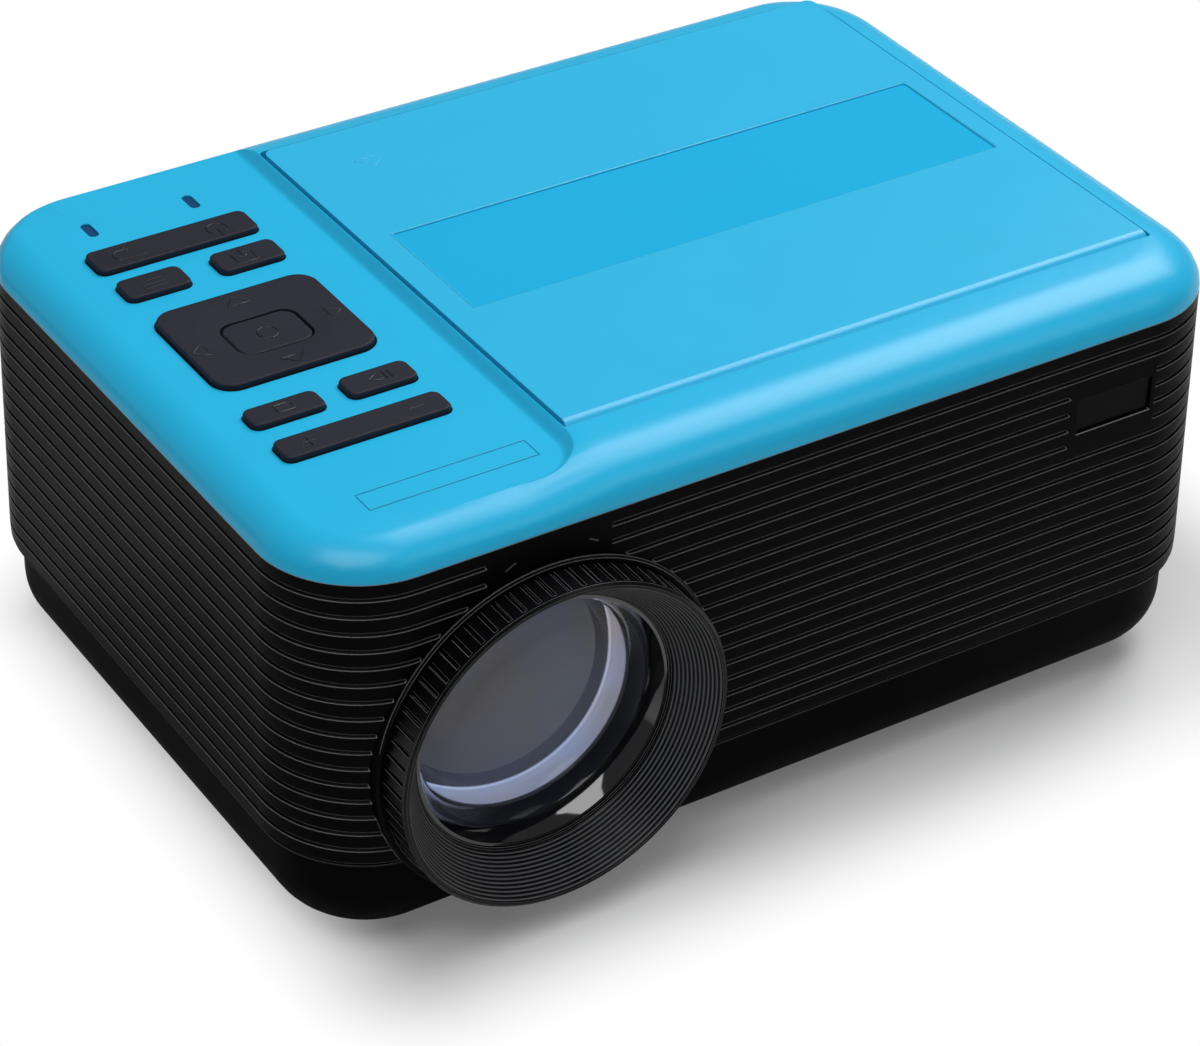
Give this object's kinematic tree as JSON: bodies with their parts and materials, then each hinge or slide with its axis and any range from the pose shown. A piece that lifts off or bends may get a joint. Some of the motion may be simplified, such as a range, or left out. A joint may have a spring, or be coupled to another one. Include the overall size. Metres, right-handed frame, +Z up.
{
  "type": "mini projector with built-in disc player",
  "caption": "Compact table-top projector with a grooved case, a focus-ring lens, a key panel and a top-loading disc bay under a hinged lid.",
  "frame": {"origin": "middle of the bounding box's underside, on the table", "axes": "+X to the right seen from the lens side, -Y the way the lens looks, +Z up"},
  "size_m": [0.231, 0.1696, 0.104],
  "materials": {
    "cover_blue": "satin light blue moulded plastic",
    "lid_blue": "satin blue moulded plastic",
    "shell_black": "fine-grained matte black plastic",
    "base_black": "smooth matte black plastic",
    "key_black": "satin dark keys",
    "ring_black": "satin black plastic",
    "gloss_black": "glossy black plastic",
    "inner_black": "plain black plastic",
    "foot_rubber": "black rubber",
    "lens_glass": "coated glass",
    "diffuser": "clear plastic sheet",
    "ir_smoke": "dark infrared filter",
    "light_clear": "tinted light pipe",
    "screw_steel": "zinc-plated steel",
    "motor_steel": "plated steel",
    "rod_steel": "ground steel",
    "alloy": "bare aluminium",
    "insert_brass": "brass",
    "board_green": "circuit board",
    "white_plastic": "white reflector plastic",
    "port_metal": "nickel-plated shell"
  },
  "bodies": {
    "case": {"top_cover": "cover_blue", "ribbed_shell": "shell_black", "bottom_case": "base_black", "case_screws": "screw_steel", "rubber_feet": "foot_rubber", "tripod_insert": "insert_brass", "lens_collar": "shell_black", "ir_window": "ir_smoke", "ir_receiver": "inner_black", "lid_hinge_pins": "rod_steel", "lid_catch": "inner_black", "disc_deck": "inner_black", "drive_chassis": "motor_steel", "chassis_dampers": "foot_rubber", "spindle_motor": "motor_steel", "guide_rods": "rod_steel", "sled_motor": "motor_steel", "lens_mount": "inner_black", "optics_housing": "inner_black", "lcd_panel": "diffuser", "fresnel_lenses": "diffuser", "condenser_lens": "lens_glass", "lamp_reflector": "white_plastic", "led_module": "alloy", "heatsink": "alloy", "fan_frame": "inner_black", "vent_grille": "shell_black", "main_board": "board_green", "power_board": "board_green", "keypad_board": "board_green", "tact_switches": "key_black", "light_pipes": "light_clear", "hdmi_port": "port_metal", "usb_port": "port_metal", "card_slot": "port_metal", "av_jack": "inner_black", "headphone_jack": "inner_black", "power_inlet": "inner_black", "rear_panel": "base_black", "speaker": "inner_black"},
    "lid": {"lid": "lid_blue"},
    "focus_ring": {"focus_ring": "ring_black"},
    "lens_barrel": {"lens_barrel": "inner_black", "lens_retainer": "gloss_black", "front_lens": "lens_glass", "rear_lens": "lens_glass"},
    "source_key": {"source_key": "key_black"},
    "menu_key": {"menu_key": "key_black"},
    "stop_key": {"stop_key": "key_black"},
    "play_pause_key": {"play_pause_key": "key_black"},
    "power_back_key": {"power_back_key": "key_black"},
    "volume_key": {"volume_key": "key_black"},
    "dpad_pivot": {"dpad_pivot": "inner_black"},
    "dpad": {"dpad": "key_black"},
    "ok_key": {"ok_key": "key_black"},
    "turntable": {"turntable": "inner_black"},
    "pickup_sled": {"pickup_sled": "inner_black"},
    "lead_screw": {"lead_screw": "rod_steel"},
    "fan_rotor": {"fan_rotor": "inner_black"}
  },
  "joints": [
    {"name": "lid_hinge", "type": "hinge", "parent": "case", "child": "lid", "pos_m": [0.02835, -0.05405, 0.1012], "axis": [1, 0, 0], "range_deg": [0, 78]},
    {"name": "focus_travel", "type": "slide", "parent": "case", "child": "lens_barrel", "axis": [0, -1, 0], "range_m": [-0.0042, 0.0042]},
    {"name": "focus_turn", "type": "hinge", "parent": "lens_barrel", "child": "focus_ring", "pos_m": [-0.06175, -0.07985, 0.0474], "axis": [0, -1, 0], "range_deg": [-60, 60]},
    {"name": "power_back_rock", "type": "hinge", "parent": "case", "child": "power_back_key", "pos_m": [-0.07975, 0.04945, 0.0981], "axis": [0, 1, 0], "range_deg": [-2.2, 2.2], "stiffness_Nm_per_rad": 0.25},
    {"name": "volume_rock", "type": "hinge", "parent": "case", "child": "volume_key", "pos_m": [-0.07995, -0.0342, 0.0981], "axis": [0, 1, 0], "range_deg": [-2.2, 2.2], "stiffness_Nm_per_rad": 0.25},
    {"name": "source_press", "type": "slide", "parent": "case", "child": "source_key", "axis": [0, 0, -1], "range_m": [0, 0.0005], "stiffness_N_per_m": 900},
    {"name": "menu_press", "type": "slide", "parent": "case", "child": "menu_key", "axis": [0, 0, -1], "range_m": [0, 0.0005], "stiffness_N_per_m": 900},
    {"name": "stop_press", "type": "slide", "parent": "case", "child": "stop_key", "axis": [0, 0, -1], "range_m": [0, 0.0005], "stiffness_N_per_m": 900},
    {"name": "play_pause_press", "type": "slide", "parent": "case", "child": "play_pause_key", "axis": [0, 0, -1], "range_m": [0, 0.0005], "stiffness_N_per_m": 900},
    {"name": "pad_tilt_x", "type": "hinge", "parent": "case", "child": "dpad_pivot", "pos_m": [-0.07955, 0.0077, 0.0956], "axis": [1, 0, 0], "range_deg": [-2, 2], "stiffness_Nm_per_rad": 0.25},
    {"name": "pad_tilt_y", "type": "hinge", "parent": "dpad_pivot", "child": "dpad", "pos_m": [-0.07955, 0.0077, 0.0956], "axis": [0, 1, 0], "range_deg": [-2, 2], "stiffness_Nm_per_rad": 0.25},
    {"name": "ok_press", "type": "slide", "parent": "case", "child": "ok_key", "axis": [0, 0, -1], "range_m": [0, 0.0005], "stiffness_N_per_m": 900},
    {"name": "turntable_spin", "type": "hinge", "parent": "case", "child": "turntable", "pos_m": [0.02835, 0.00755, 0.097], "axis": [0, 0, 1], "continuous": true},
    {"name": "sled_travel", "type": "slide", "parent": "case", "child": "pickup_sled", "axis": [1, 0, 0], "range_m": [0, 0.033]},
    {"name": "lead_screw_spin", "type": "hinge", "parent": "case", "child": "lead_screw", "pos_m": [0.06835, 0.03505, 0.088], "axis": [1, 0, 0], "range_deg": [0, 3960]},
    {"name": "fan_spin", "type": "hinge", "parent": "case", "child": "fan_rotor", "pos_m": [-0.06175, 0.07385, 0.0474], "axis": [0, 1, 0], "continuous": true}
  ],
  "couplings": [
    {"joint": "focus_travel", "follows": "focus_turn", "m_per_rad": 0.004},
    {"joint": "lead_screw_spin", "follows": "sled_travel", "rad_per_m": 2094.4}
  ]
}
